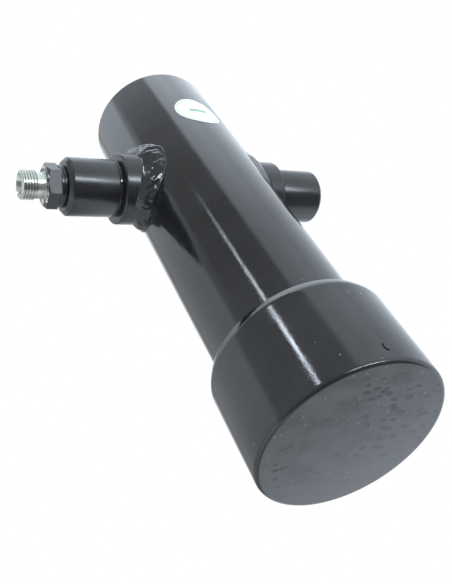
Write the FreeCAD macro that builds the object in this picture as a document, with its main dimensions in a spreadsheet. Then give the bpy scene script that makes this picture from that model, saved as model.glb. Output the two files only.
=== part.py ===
"""Trunnion-mounted telescopic hydraulic ram: welded barrel, one sliding stage and a plunger.

Millimetres, +Z up.  The origin is the centre of the base cap's flat face and +Z runs along the
ram towards the rod end.  The trunnions lie on X; oil enters through the one on -X.
"""
import FreeCAD, Part
import os
import Sketcher
from FreeCAD import Placement, Rotation, Vector

# Every driving dimension, in millimetres.
SIZES = {
    # barrel
    "body_length": 270, "tube_od": 75, "tube_wall": 7.5,
    "cap_wall": 8, "cap_length": 54.5, "cap_floor": 20, "cap_edge": 2,
    "cap_taper_length": 4.8, "cap_taper_depth": 2.1, "base_seal_section": 2.4,
    # trunnions and the oil port in one of them
    "trunnion_from_end": 78, "pin_od": 32, "pin_length": 30, "pin_chamfer": 2.2,
    "spigot_step": 1,
    "collar_wall": 4, "collar_height": 12.5, "collar_chamfer": 1,
    "collar_weld": 8, "weld_spread": 0.73, "pin_weld": 2,
    "port_bore": 8, "stud_od": 16, "stud_length": 12, "stud_relief": 2,
    "washer_od": 23, "washer_thickness": 1.6,
    "hex_af": 22, "hex_length": 7, "hex_bearing": 14, "neck_od": 14.2, "neck_length": 5.2,
    "thread_od": 16, "thread_length": 7.8, "thread_chamfer": 1,
    "socket_bore": 10.1, "socket_depth": 7, "cone_mouth": 12.6, "cone_depth": 1.9,
    # stage, plunger and ball end
    "stage_annulus": 5, "stage_wall": 5, "stage_rise": 8,
    "plunger_annulus": 4, "plunger_rise": 1.5,
    "ball_step": 2, "ball_seat": 8.5, "ball_shank_od": 16, "ball_shank_length": 24,
    "notch_width": 8, "notch_height": 6, "stop_ring_at": 8, "stage_ring_at": 12,
    "plunger_ring_at": 4, "stage_guide_length": 13.7, "plunger_guide_length": 17.7,
    "flute_width": 6, "flute_depth": 2.5, "ring_thickness": 2, "ring_bite": 1.5,
    "ring_stand": 1.7, "split_ring_angle": 350, "stop_ring_lap": 5,
    # gland in the barrel and head in the stage
    "gland_step": 2.5, "head_step": 2, "gland_play": 0.5, "land": 3.5, "lip": 4.5,
    "gland_guide_length": 12, "head_guide_length": 14, "guide_section": 2.5,
    "seal_length": 7, "seal_section": 3.5, "wiper_length": 6, "wiper_section": 2.8,
    "o_ring_section": 2.4, "o_ring_at": 8, "spanner_width": 6, "spanner_depth": 2.5,
    # inspection label
    "label_od": 28, "label_from_end": 48, "label_thickness": 0.2, "label_bearing": 86,
    # clearances
    "seat_gap": 0.02, "run_gap": 0.05,
}


def of(text):
    """A cell expression: every word that names a size is looked up in the sheet."""
    words = text.replace("(", " ( ").replace(")", " ) ").split()
    return " ".join("sizes." + word if word in SIZES else word for word in words)


# Sizes that follow from the driving ones, as the expressions that the features are bound to.
TUBE_R = of("( tube_od / 2 )")
BORE_R = of("( tube_od / 2 - tube_wall )")
CAP_R = of("( tube_od / 2 + cap_wall )")
BODY_END = of("body_length")
FLOOR = of("cap_floor")
TRUNNION_Z = of("( body_length - trunnion_from_end )")
PIN_R = of("( pin_od / 2 )")
SPIGOT_R = of("( pin_od / 2 - spigot_step )")
COLLAR_R = of("( pin_od / 2 + collar_wall )")
COLLAR_END = of("( tube_od / 2 + collar_height )")
PIN_FOOT = COLLAR_END + of(" + pin_weld")
PIN_END = COLLAR_END + of(" + pin_length")
STUD_R = of("( stud_od / 2 )")
STAGE_R = of("( tube_od / 2 - tube_wall - stage_annulus )")
STAGE_BORE_R = STAGE_R + of(" - stage_wall")
STAGE_END = of("( body_length + stage_rise )")
PLUNGER_R = STAGE_BORE_R + of(" - plunger_annulus")
PLUNGER_END = STAGE_END + of(" + plunger_rise")
PLUNGER_FOOT = FLOOR + of(" + stop_ring_at + ring_thickness")
BALL_R = f"( {PLUNGER_R}" + of(" + ball_step )")
GLAND_R = BORE_R + of(" + gland_step")
GLAND_LENGTH = of("( land * 3 + gland_guide_length + seal_length + wiper_length + lip )")
GLAND_FOOT = f"( {BODY_END} - {GLAND_LENGTH} )"
HEAD_R = STAGE_BORE_R + of(" + head_step")
HEAD_LENGTH = of("( land * 3 + head_guide_length + seal_length + wiper_length + lip )")
HEAD_FOOT = f"( {STAGE_END} - {HEAD_LENGTH} )"
HEX_FOOT = PIN_END + of(" + washer_thickness * 2")
ADAPTER_END = HEX_FOOT + of(" + hex_length + neck_length + thread_length")

doc = FreeCAD.newDocument("telescopic_ram")
sheet = doc.addObject("Spreadsheet::Sheet", "sizes")
for row, (size, number) in enumerate(SIZES.items(), start=1):
    sheet.set(f"A{row}", size)
    sheet.set(f"B{row}", str(number))
    sheet.setAlias(f"B{row}", size)
doc.recompute()


# ---------------------------------------------------------------- helpers

def number(expression):
    """The present value of a cell expression."""
    value = sheet.evalExpression(expression)
    return float(getattr(value, "Value", value))


def plane(body, role):
    return [datum for datum in body.Origin.OriginFeatures if datum.Role == role][0]


def new_body(label):
    body = doc.addObject("PartDesign::Body", label)
    body.Label = label
    return body


def new_sketch(body, name, role):
    sketch = body.newObject("Sketcher::SketchObject", name)
    sketch.AttachmentSupport = [(plane(body, role), "")]
    sketch.MapMode = "FlatFace"
    return sketch


def pin_to(sketch, geometry, point, across, up):
    """Hold one point of the sketch at two expressions, measured from the sketch's origin."""
    for kind, axis, expression in (("DistanceX", -2, across), ("DistanceY", -1, up)):
        value = number(expression)
        if abs(value) < 1e-9:
            sketch.addConstraint(Sketcher.Constraint("PointOnObject", geometry, point, axis))
        else:
            index = sketch.addConstraint(
                Sketcher.Constraint(kind, -1, 1, geometry, point, value))
            sketch.setExpression(f"Constraints[{index}]", expression)


def outline(sketch, corners):
    """A closed outline of straight lines through corners, each a pair of expressions."""
    places = [Vector(number(across), number(up), 0) for across, up in corners]
    following = places[1:] + places[:1]
    lines = [sketch.addGeometry(Part.LineSegment(start, end), False)
             for start, end in zip(places, following)]
    for line, after in zip(lines, lines[1:] + lines[:1]):
        sketch.addConstraint(Sketcher.Constraint("Coincident", line, 2, after, 1))
    for line, (across, up) in zip(lines, corners):
        pin_to(sketch, line, 1, across, up)


def rectangle(left, right, low, high):
    return [(left, low), (right, low), (right, high), (left, high)]


def turned(label, corners, angle=None):
    """A body turned about its own Z axis from corners given as (radius, height).

    angle is the expression of a ring that doesn't close, such as a snap ring.
    """
    body = new_body(label)
    sketch = new_sketch(body, label + "_profile", "XZ_Plane")
    outline(sketch, corners)
    blank = body.newObject("PartDesign::Revolution", label + "_blank")
    blank.Profile = sketch
    blank.ReferenceAxis = (sketch, ["V_Axis"])
    blank.Angle = 360
    if angle:
        blank.setExpression("Angle", angle)
    sketch.Visibility = False
    doc.recompute()
    return body


def must_shrink(body, before, name):
    """Stop if a cutting feature met nothing."""
    doc.recompute()
    if not body.Shape.Volume < before - 1e-3:
        raise RuntimeError(f"{name} cuts nothing from {body.Label}")


def turn_groove(body, name, corners):
    """Turn a groove whose section has the corners given as (radius, height)."""
    before = body.Shape.Volume
    sketch = new_sketch(body, name + "_profile", "XZ_Plane")
    outline(sketch, corners)
    groove = body.newObject("PartDesign::Groove", name)
    groove.Profile = sketch
    groove.ReferenceAxis = (sketch, ["V_Axis"])
    groove.Angle = 360
    must_shrink(body, before, name)
    return groove


def cut_slots(body, name, corners, low, height, count):
    """Mill count equal slots parallel to the axis; corners is the slot seen along the axis."""
    before = body.Shape.Volume
    sketch = new_sketch(body, name + "_profile", "XY_Plane")
    outline(sketch, corners)
    sketch.setExpression("AttachmentOffset.Base.z", low)
    slot = body.newObject("PartDesign::Pocket", name)
    slot.Profile = sketch
    slot.Reversed = True
    slot.Type = "Length"
    slot.setExpression("Length", height)
    must_shrink(body, before, name)
    before = body.Shape.Volume
    pattern = body.newObject("PartDesign::PolarPattern", name + "_pattern")
    pattern.Originals = [slot]
    pattern.Axis = (sketch, ["N_Axis"])
    pattern.Angle = 360
    pattern.Occurrences = count
    body.Tip = pattern
    must_shrink(body, before, name + "_pattern")


def centred_circle(sketch, diameter, construction=False):
    """A circle about the sketch's origin, its diameter bound to an expression."""
    circle = sketch.addGeometry(
        Part.Circle(Vector(0, 0, 0), Vector(0, 0, 1), number(diameter) / 2), construction)
    sketch.addConstraint(Sketcher.Constraint("Coincident", circle, 3, -1, 1))
    index = sketch.addConstraint(Sketcher.Constraint("Diameter", circle, number(diameter)))
    sketch.setExpression(f"Constraints[{index}]", diameter)
    return circle


def cut_across(body, name, diameters):
    """Cut along the body's X axis, through both ends, between or inside centred circles."""
    before = body.Shape.Volume
    sketch = new_sketch(body, name + "_profile", "YZ_Plane")
    for diameter in diameters:
        centred_circle(sketch, diameter)
    cut = body.newObject("PartDesign::Pocket", name)
    cut.Profile = sketch
    cut.SideType = "Symmetric"
    cut.Type = "ThroughAll"
    must_shrink(body, before, name)


def primitive(kind, label, place=None, **sizes):
    """A Part primitive whose sizes and position are bound to expressions."""
    solid = doc.addObject(kind, label)
    solid.Label = label
    for size, expression in sizes.items():
        solid.setExpression(size, expression)
    for axis, expression in (place or {}).items():
        solid.setExpression(f"Placement.Base.{axis}", expression)
    return solid


def boolean(kind, label, base, tool):
    result = doc.addObject(kind, label)
    result.Label = label
    result.Base = base
    result.Tool = tool
    return result


def o_ring(label, radius, height, section):
    return primitive("Part::Torus", label, place={"z": height},
                     Radius1=radius, Radius2=f"{section} / 2")


# Each side of the ram's cross shaft is built along its own +Z from the ram's axis and then
# turned outwards: the blind side to +X and the port side to -X.
OUTWARDS = {"blind": Rotation(Vector(0, 1, 0), 90), "port": Rotation(Vector(0, 1, 0), -90)}


def place_on_side(solid, side):
    solid.Placement = Placement(Vector(0, 0, 0), OUTWARDS[side])
    solid.setExpression("Placement.Base.z", TRUNNION_Z)
    return solid


# ---------------------------------------------------------------- barrel

def barrel_tube():
    """Honed tube, counterbored at the rod end for the gland nut and cross-drilled for the oil."""
    body = turned("barrel_tube", [
        (BORE_R, FLOOR), (TUBE_R, FLOOR), (TUBE_R, BODY_END), (GLAND_R, BODY_END),
        (GLAND_R, GLAND_FOOT), (BORE_R, GLAND_FOOT)])
    before = body.Shape.Volume
    sketch = new_sketch(body, "oil_hole_profile", "YZ_Plane")
    circle = sketch.addGeometry(
        Part.Circle(Vector(0, number(TRUNNION_Z), 0), Vector(0, 0, 1), 4), False)
    pin_to(sketch, circle, 3, "0", TRUNNION_Z)
    index = sketch.addConstraint(Sketcher.Constraint("Diameter", circle, 8))
    sketch.setExpression(f"Constraints[{index}]", of("port_bore"))
    hole = body.newObject("PartDesign::Pocket", "oil_hole")
    hole.Profile = sketch
    hole.Type = "Length"
    hole.setExpression("Length", TUBE_R)
    must_shrink(body, before, "oil_hole")
    return body


def base_cap():
    """Closed cup screwed over the tube, with a slow taper at its open end."""
    seat = TUBE_R + of(" + seat_gap")
    rim = CAP_R + of(" - cap_taper_depth")
    body = turned("base_cap", [
        ("0", "0"), (CAP_R + of(" - cap_edge"), "0"), (CAP_R, of("cap_edge")),
        (CAP_R, of("cap_length - cap_taper_length")), (rim, of("cap_length")),
        (seat, of("cap_length")), (seat, FLOOR), ("0", FLOOR)])
    middle = f"( {BORE_R} + {TUBE_R} ) / 2"
    half = of("base_seal_section * 0.65")
    turn_groove(body, "base_seal_groove", rectangle(
        f"{middle} - {half}", f"{middle} + {half}", FLOOR + of(" - base_seal_section"), FLOOR))
    return body


def base_seal():
    return o_ring("base_seal", f"( {BORE_R} + {TUBE_R} ) / 2",
                  FLOOR + of(" - base_seal_section / 2"), of("base_seal_section"))


def collar(side):
    """Ring that stiffens the trunnion, saddled to the tube and bored for the pin's spigot."""
    body = turned(side + "_collar", [
        (SPIGOT_R, "0"), (COLLAR_R, "0"), (COLLAR_R, COLLAR_END + of(" - collar_chamfer")),
        (COLLAR_R + of(" - collar_chamfer"), COLLAR_END), (SPIGOT_R, COLLAR_END)])
    cut_across(body, side + "_collar_saddle", [of("tube_od")])
    return place_on_side(body, side)


def pin(side, bored):
    """Trunnion pin on a saddled spigot; the bored one carries the oil and the stud port."""
    outside = [(SPIGOT_R, "0"), (SPIGOT_R, PIN_FOOT), (PIN_R, PIN_FOOT),
               (PIN_R, PIN_END + of(" - pin_chamfer")), (PIN_R + of(" - pin_chamfer"), PIN_END)]
    if bored:
        oil = of("port_bore / 2")
        port = STUD_R + of(" + seat_gap")
        port_foot = PIN_END + of(" - stud_length - stud_relief")
        corners = [(oil, "0")] + outside + [(port, PIN_END), (port, port_foot), (oil, port_foot)]
    else:
        corners = [("0", "0")] + outside + [("0", PIN_END)]
    body = turned(side + "_pin", corners)
    cut_across(body, side + "_pin_saddle", [of("tube_od")])
    return place_on_side(body, side)


def pin_weld(side):
    """Root weld laid in the groove between the collar's end and the pin's shoulder."""
    edge = SPIGOT_R + of(" + spigot_step * 0.6")
    crown = SPIGOT_R + of(" + spigot_step * 0.9")
    body = turned(side + "_pin_weld", [
        (SPIGOT_R, COLLAR_END), (edge, COLLAR_END), (crown, COLLAR_END + of(" + pin_weld / 2")),
        (edge, PIN_FOOT), (SPIGOT_R, PIN_FOOT)])
    return place_on_side(body, side)


def collar_weld(side):
    """Saddle-shaped bead between the collar and the tube.

    A cone is turned around the collar; the tube is taken out of it, and so is everything
    further from the tube than the weld's leg.  The cone's foot stays between the collar and the
    tube's side, so that the beads of the two trunnions never meet round the tube.
    """
    crest = TUBE_R + of(" + collar_weld")
    top = TUBE_R + of(" + collar_weld * 1.4")
    foot = COLLAR_R + f" + ( {TUBE_R} - {COLLAR_R} )" + of(" * weld_spread")
    body = turned(side + "_collar_weld", [
        (COLLAR_R, "0"), (foot, "0"),
        (COLLAR_R + of(" + collar_weld * 0.1"), top), (COLLAR_R, top)])
    cut_across(body, side + "_collar_weld_saddle", [of("tube_od")])
    cut_across(body, side + "_collar_weld_crown", [f"2 * ( {crest} )", of("tube_od * 3")])
    return place_on_side(body, side)


def port_ring(label, order, bore):
    """Flat ring under the adapter's hexagon; order counts from the pin outwards."""
    foot = PIN_END + of(f" + washer_thickness * {order}")
    body = turned(label, rectangle(
        bore, of("washer_od / 2"), foot, foot + of(" + washer_thickness")))
    return place_on_side(body, "port")


def port_adapter():
    """Straight stud adapter: stud, hexagon, relief, thread and 24 degree pipe cone."""
    corner_r = "( " + of("hex_af / 2") + " / cos(30) )"
    hex_end = HEX_FOOT + of(" + hex_length")
    neck_end = hex_end + of(" + neck_length")
    bevel = f"( {corner_r} - " + of("hex_af / 2 * 0.95 )")
    oil = of("port_bore / 2")
    body = turned("port_adapter", [
        (oil, PIN_END + of(" - stud_length")),
        (STUD_R + of(" - thread_chamfer"), PIN_END + of(" - stud_length")),
        (STUD_R, PIN_END + of(" - stud_length + thread_chamfer")),
        (STUD_R, HEX_FOOT), (corner_r, HEX_FOOT),
        (corner_r, f"{hex_end} - {bevel} * tan(30)"),
        (of("hex_af / 2 * 0.95"), hex_end), (of("neck_od / 2"), hex_end),
        (of("neck_od / 2"), neck_end), (of("thread_od / 2"), neck_end + of(" + thread_chamfer")),
        (of("thread_od / 2"), ADAPTER_END + of(" - thread_chamfer")),
        (of("thread_od / 2 - thread_chamfer"), ADAPTER_END),
        (of("cone_mouth / 2"), ADAPTER_END),
        (of("socket_bore / 2"), ADAPTER_END + of(" - cone_depth")),
        (of("socket_bore / 2"), ADAPTER_END + of(" - cone_depth - socket_depth")),
        (oil, ADAPTER_END + of(" - cone_depth - socket_depth"))])
    before = body.Shape.Volume
    sketch = new_sketch(body, "hexagon", "XY_Plane")
    sketch.setExpression("AttachmentOffset.Base.z", HEX_FOOT)
    sketch.setExpression("AttachmentOffset.Rotation.Angle", of("hex_bearing"))
    centred_circle(sketch, of("hex_af * 2"))
    guide = centred_circle(sketch, f"2 * {corner_r}", construction=True)
    spoke = Vector(number(corner_r), 0, 0)
    corners = [Rotation(Vector(0, 0, 1), 60 * step).multVec(spoke) for step in range(6)]
    sides = [sketch.addGeometry(Part.LineSegment(start, end), False)
             for start, end in zip(corners, corners[1:] + corners[:1])]
    for side, after in zip(sides, sides[1:] + sides[:1]):
        sketch.addConstraint(Sketcher.Constraint("Coincident", side, 2, after, 1))
        sketch.addConstraint(Sketcher.Constraint("PointOnObject", side, 1, guide))
    for side in sides[1:]:
        sketch.addConstraint(Sketcher.Constraint("Equal", sides[0], side))
    sketch.addConstraint(Sketcher.Constraint("PointOnObject", sides[0], 1, -1))
    flats = body.newObject("PartDesign::Pocket", "hexagon_flats")
    flats.Profile = sketch
    flats.Reversed = True
    flats.Type = "Length"
    flats.setExpression("Length", of("hex_length"))
    must_shrink(body, before, "hexagon_flats")
    return place_on_side(body, "port")


def inspection_label():
    """Thin round label bent onto the tube's front, near the rod end."""
    size = {"Height": of("body_length * 2")}
    skin = primitive("Part::Cylinder", "label_skin", Radius=TUBE_R + of(" + label_thickness"),
                     **size)
    tube = primitive("Part::Cylinder", "label_tube", Radius=TUBE_R, **size)
    sleeve = boolean("Part::Cut", "label_sleeve", skin, tube)
    punch = primitive("Part::Cylinder", "label_punch", Radius=of("label_od / 2"),
                      Height=of("tube_od"))
    punch.Placement = Placement(Vector(0, 0, 0), Rotation(Vector(0, 1, 0), 90))
    punch.setExpression("Placement.Base.z", of("body_length - label_from_end"))
    label = boolean("Part::Common", "inspection_label", sleeve, punch)
    bearing = of("label_bearing")
    label.Placement = Placement(Vector(0, 0, 0), Rotation(Vector(0, 0, -1), number(bearing)))
    label.setExpression("Placement.Rotation.Angle", bearing)
    return label


# ---------------------------------------------------------------- gland and stage head

def seal_carrier(label, outer, foot, inner, guide_length):
    """Threaded ring with grooves for a guide, a rod seal, a wiper and an outer O-ring."""
    bore = inner + of(" + gland_play")
    guide_foot = foot + of(" + land")
    seal_foot = guide_foot + f" + {guide_length}" + of(" + land")
    wiper_foot = seal_foot + of(" + seal_length + land")
    end = wiper_foot + of(" + wiper_length + lip")
    body = turned(label, rectangle(bore, outer, foot, end))
    turn_groove(body, label + "_guide_groove", rectangle(
        bore, inner + of(" + guide_section"), guide_foot, f"{guide_foot} + {guide_length}"))
    turn_groove(body, label + "_seal_groove", rectangle(
        bore, inner + of(" + seal_section"), seal_foot, seal_foot + of(" + seal_length")))
    turn_groove(body, label + "_wiper_groove", rectangle(
        bore, inner + of(" + wiper_section"), wiper_foot, wiper_foot + of(" + wiper_length")))
    ring_foot = foot + of(" + o_ring_at")
    turn_groove(body, label + "_o_ring_groove", rectangle(
        outer + of(" - o_ring_section"), outer, ring_foot,
        ring_foot + of(" + o_ring_section * 1.3")))
    half = of("spanner_width / 2")
    cut_slots(body, label + "_spanner_slots", rectangle(
        outer + of(" - spanner_depth"), outer, f"0 - {half}", half),
        end + of(" - spanner_depth"), of("spanner_depth"), 4)
    return body


def seal_set(prefix, outer, foot, inner, guide_length):
    """The guide ring, U-cup, wiper and O-ring that sit in a seal carrier's grooves."""
    lip_r = inner + of(" + run_gap")
    guide_foot = foot + of(" + land")
    seal_foot = guide_foot + f" + {guide_length}" + of(" + land")
    seal_end = seal_foot + of(" + seal_length")
    seal_r = inner + of(" + seal_section")
    wiper_foot = seal_end + of(" + land")
    wiper_end = wiper_foot + of(" + wiper_length")
    wiper_r = inner + of(" + wiper_section")
    crotch = inner + of(" + seal_section / 2")
    guide = turned(prefix + "_guide_ring", rectangle(
        lip_r, inner + of(" + guide_section"), guide_foot, f"{guide_foot} + {guide_length}"))
    cup = turned(prefix + "_rod_seal", [
        (lip_r, seal_foot), (inner + of(" + seal_section * 0.2"), seal_foot),
        (crotch, seal_foot + of(" + seal_length * 0.4")),
        (inner + of(" + seal_section * 0.8"), seal_foot),
        (seal_r, seal_foot), (seal_r, seal_end), (lip_r, seal_end)])
    lip_end = wiper_end + of(" + lip * 0.6")
    bore = inner + of(" + gland_play")
    wiper = turned(prefix + "_wiper", [
        (lip_r, wiper_foot), (wiper_r, wiper_foot), (wiper_r, wiper_end), (bore, wiper_end),
        (inner + of(" + gland_play * 0.6"), lip_end), (lip_r, lip_end)])
    ring = o_ring(prefix + "_o_ring", outer + of(" - o_ring_section / 2"),
                  foot + of(" + o_ring_at + o_ring_section * 0.65"), of("o_ring_section"))
    return [guide, cup, wiper, ring]


# ---------------------------------------------------------------- stage and plunger

def snap_ring(label, root, foot):
    """Split ring sprung into an outer groove whose root is given."""
    return turned(label, rectangle(
        root, root + of(" + ring_bite + ring_stand"), foot, foot + of(" + ring_thickness")),
        angle=of("split_ring_angle"))


def guide_ring(label, inner, outer, foot, length):
    """Bronze ring that runs in the next bore, fluted so that oil passes it."""
    body = turned(label, rectangle(inner, outer, foot, f"{foot} + {length}"))
    half = of("flute_width / 2")
    cut_slots(body, label + "_flutes", rectangle(
        outer + of(" - flute_depth"), outer + of(" + flute_depth"), f"0 - {half}", half),
        foot, length, 8)
    return body


def stage_tube():
    """Sliding tube, notched at its foot, grooved for its rings and counterbored for its head."""
    foot = FLOOR
    body = turned("stage_tube", [
        (STAGE_BORE_R, foot), (STAGE_R, foot), (STAGE_R, STAGE_END), (HEAD_R, STAGE_END),
        (HEAD_R, HEAD_FOOT), (STAGE_BORE_R, HEAD_FOOT)])
    root = STAGE_R + of(" - ring_bite")
    turn_groove(body, "stage_lower_groove", rectangle(
        root, STAGE_R, STAGE_RING_FOOT, STAGE_RING_FOOT + of(" + ring_thickness")))
    turn_groove(body, "stage_upper_groove", rectangle(
        root, STAGE_R, STAGE_RING_TOP, STAGE_RING_TOP + of(" + ring_thickness")))
    stop_foot = FLOOR + of(" + stop_ring_at")
    turn_groove(body, "stop_ring_groove", rectangle(
        STAGE_BORE_R, STAGE_BORE_R + of(" + ring_bite"), stop_foot,
        stop_foot + of(" + ring_thickness")))
    half = of("notch_width / 2")
    cut_slots(body, "foot_notches", rectangle(
        STAGE_BORE_R + " * 0.8", STAGE_R + " * 1.1", f"0 - {half}", half),
        foot, of("notch_height"), 4)
    return body


def plunger():
    """Solid ground rod, grooved for its rings and bored for the ball end's shank."""
    body = turned("plunger", [
        ("0", PLUNGER_FOOT), (PLUNGER_R + of(" - pin_chamfer"), PLUNGER_FOOT),
        (PLUNGER_R, PLUNGER_FOOT + of(" + pin_chamfer")), (PLUNGER_R, PLUNGER_END),
        (of("ball_shank_od / 2 + seat_gap"), PLUNGER_END),
        (of("ball_shank_od / 2 + seat_gap"), PLUNGER_END + of(" - ball_shank_length")),
        ("0", PLUNGER_END + of(" - ball_shank_length"))])
    root = PLUNGER_R + of(" - ring_bite")
    for name, foot in (("lower", PLUNGER_RING_FOOT), ("upper", PLUNGER_RING_TOP)):
        turn_groove(body, f"plunger_{name}_groove", rectangle(
            root, PLUNGER_R, foot, foot + of(" + ring_thickness")))
    return body


def ball_end():
    """Ball with a flat seat on the plunger's end and a shank screwed into it."""
    centre = PLUNGER_END + of(" + ball_seat")
    ball = primitive("Part::Sphere", "ball", place={"z": centre}, Radius=BALL_R,
                     Angle1="-asin(" + of("ball_seat") + f" / {BALL_R})")
    shank = primitive("Part::Cylinder", "ball_shank",
                      place={"z": PLUNGER_END + of(" - ball_shank_length")},
                      Radius=of("ball_shank_od / 2"), Height=of("ball_shank_length"))
    return boolean("Part::Fuse", "ball_end", ball, shank)


STAGE_RING_FOOT = FLOOR + of(" + stage_ring_at")
STAGE_RING_TOP = STAGE_RING_FOOT + of(" + ring_thickness + stage_guide_length")
PLUNGER_RING_FOOT = PLUNGER_FOOT + of(" + plunger_ring_at")
PLUNGER_RING_TOP = PLUNGER_RING_FOOT + of(" + ring_thickness + plunger_guide_length")
STAGE_ROOT = STAGE_R + of(" - ring_bite")
PLUNGER_ROOT = PLUNGER_R + of(" - ring_bite")

# ---------------------------------------------------------------- assembly

subparts = [barrel_tube(), base_cap(), base_seal()]
for side in ("blind", "port"):
    subparts += [collar(side), pin(side, bored=side == "port"), pin_weld(side),
                 collar_weld(side)]
subparts += [port_ring("port_washer", 0, STUD_R + of(" + seat_gap")),
             port_ring("bonded_seal", 1, STUD_R + of(" + seat_gap")),
             port_adapter(), inspection_label()]

subparts += [seal_carrier("gland_nut", GLAND_R, GLAND_FOOT, STAGE_R, of("gland_guide_length"))]
subparts += seal_set("gland", GLAND_R, GLAND_FOOT, STAGE_R, of("gland_guide_length"))

subparts += [stage_tube(),
             snap_ring("stage_snap_ring_lower", STAGE_ROOT, STAGE_RING_FOOT),
             snap_ring("stage_snap_ring_upper", STAGE_ROOT, STAGE_RING_TOP),
             guide_ring("stage_guide_ring", STAGE_R, BORE_R + of(" - run_gap"),
                        STAGE_RING_FOOT + of(" + ring_thickness"), of("stage_guide_length")),
             turned("plunger_stop_ring", rectangle(
                 PLUNGER_R + of(" - stop_ring_lap"), STAGE_BORE_R + of(" + ring_bite"),
                 FLOOR + of(" + stop_ring_at"), PLUNGER_FOOT),
                 angle=of("split_ring_angle"))]
subparts += [seal_carrier("stage_head", HEAD_R, HEAD_FOOT, PLUNGER_R, of("head_guide_length"))]
subparts += seal_set("head", HEAD_R, HEAD_FOOT, PLUNGER_R, of("head_guide_length"))

subparts += [plunger(),
             snap_ring("plunger_snap_ring_lower", PLUNGER_ROOT, PLUNGER_RING_FOOT),
             snap_ring("plunger_snap_ring_upper", PLUNGER_ROOT, PLUNGER_RING_TOP),
             guide_ring("plunger_guide_ring", PLUNGER_R, STAGE_BORE_R + of(" - run_gap"),
                        PLUNGER_RING_FOOT + of(" + ring_thickness"),
                        of("plunger_guide_length")),
             ball_end()]

doc.recompute()
for thing in doc.Objects:
    if "Invalid" in thing.State or "Error" in thing.State:
        raise RuntimeError(f"{thing.Label} failed: {thing.State}")
os.makedirs("parts", exist_ok=True)
for subpart in subparts:
    shape = subpart.Shape
    if shape.isNull() or not shape.isValid() or not shape.Solids:
        raise RuntimeError(f"{subpart.Label} has no valid solid")
    shape.exportStep(f"parts/{subpart.Label}.step")
    print(f"{subpart.Label:26s} {shape.Volume / 1000:9.2f} cm3  solids {len(shape.Solids)}")
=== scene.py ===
# %% [markdown]
# # A telescopic hydraulic ram with side trunnions
#
# The object is a short, heavy ram for tipping a load.  A black enamelled barrel ends in a screwed
# base cup.  Two trunnions carry it, and oil enters through one of them.  A chromed stage and a
# plunger with a ball end slide out of the other end.  The CAD model gives every size, and each
# piece below is turned, bevelled or swept with bmesh operators around those sizes.

import math

import bmesh
import bpy
from mathutils import Matrix, Vector, noise


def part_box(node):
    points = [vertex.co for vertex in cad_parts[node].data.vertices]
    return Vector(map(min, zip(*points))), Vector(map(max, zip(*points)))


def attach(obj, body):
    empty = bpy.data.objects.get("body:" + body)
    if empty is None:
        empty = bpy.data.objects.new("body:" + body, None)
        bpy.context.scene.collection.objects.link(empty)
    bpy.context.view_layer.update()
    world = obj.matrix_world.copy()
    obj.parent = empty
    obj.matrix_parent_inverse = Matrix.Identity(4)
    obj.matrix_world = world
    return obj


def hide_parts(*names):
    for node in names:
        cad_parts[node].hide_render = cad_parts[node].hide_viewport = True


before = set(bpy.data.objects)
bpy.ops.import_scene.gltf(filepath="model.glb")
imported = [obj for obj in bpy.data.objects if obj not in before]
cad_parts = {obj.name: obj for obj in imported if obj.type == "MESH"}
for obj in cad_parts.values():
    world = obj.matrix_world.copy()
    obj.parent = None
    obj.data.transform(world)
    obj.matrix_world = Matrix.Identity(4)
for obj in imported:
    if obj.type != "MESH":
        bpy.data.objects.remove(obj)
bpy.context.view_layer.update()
MM = 0.001
FULL_TURN = 2 * math.pi

# %% [markdown]
# ## Sizes
#
# A CAD node's box gives its radius and its ends, so most sizes are read from the frame.  Only
# roundings and surface detail, which the CAD leaves plain, are numbers here.

# %% Read the sizes
cap_low, cap_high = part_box("base_cap")
tube_low, tube_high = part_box("barrel_tube")
gland_low, gland_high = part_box("gland_nut")
stage_low, stage_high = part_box("stage_tube")
head_low, head_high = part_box("stage_head")
plunger_low, plunger_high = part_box("plunger")
ball_low, ball_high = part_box("ball_end")
collar_low, collar_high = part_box("blind_collar")
pin_low, pin_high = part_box("blind_pin")
adapter_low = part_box("port_adapter")[0]
washer_low, washer_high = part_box("port_washer")
bonded_low, bonded_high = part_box("bonded_seal")
label_low, label_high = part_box("inspection_label")

cap_radius, cap_length = cap_high.x, cap_high.z
tube_radius, tube_end = tube_high.x, tube_high.z
floor_height = tube_low.z
trunnion_height = (pin_low.z + pin_high.z) / 2
collar_radius, collar_end = (collar_high.z - collar_low.z) / 2, collar_high.x
pin_radius, pin_end = (pin_high.z - pin_low.z) / 2, pin_high.x
saddle_depth = collar_low.x
stage_radius, stage_end = stage_high.x, stage_high.z
plunger_radius, plunger_end = plunger_high.x, plunger_high.z
tube_wall, stage_wall = 7.5 * MM, 5 * MM
tube_bore = tube_radius - tube_wall
stage_bore = stage_radius - stage_wall
print("tube radius", round(tube_radius / MM, 2), "cap radius", round(cap_radius / MM, 2))
print("trunnion height", round(trunnion_height / MM, 2), "pin end", round(pin_end / MM, 2))

# %% [markdown]
# ## Camera
#
# The viewpoint is below and to the left of the base, looking up the barrel, so the flat end of
# the cup is nearest.  The camera is placed by its position and its three directions.

# %% Camera
camera_data = bpy.data.cameras.new("camera")
camera_data.lens = 48.87
camera_data.sensor_width = 36
camera = bpy.data.objects.new("camera", camera_data)
bpy.context.collection.objects.link(camera)
look_right = Vector((0.8833, -0.2816, -0.3748)).normalized()
look_forward = Vector((0.4684, 0.5639, 0.6802)).normalized()
look_up = look_right.cross(look_forward).normalized()
turn = Matrix((look_right, look_up, -look_forward)).transposed()
camera.matrix_world = Matrix.Translation((-0.2037, -0.2225, -0.1690)) @ turn.to_4x4()
bpy.context.scene.camera = camera
print("camera at", tuple(round(value, 3) for value in camera.location))

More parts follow.
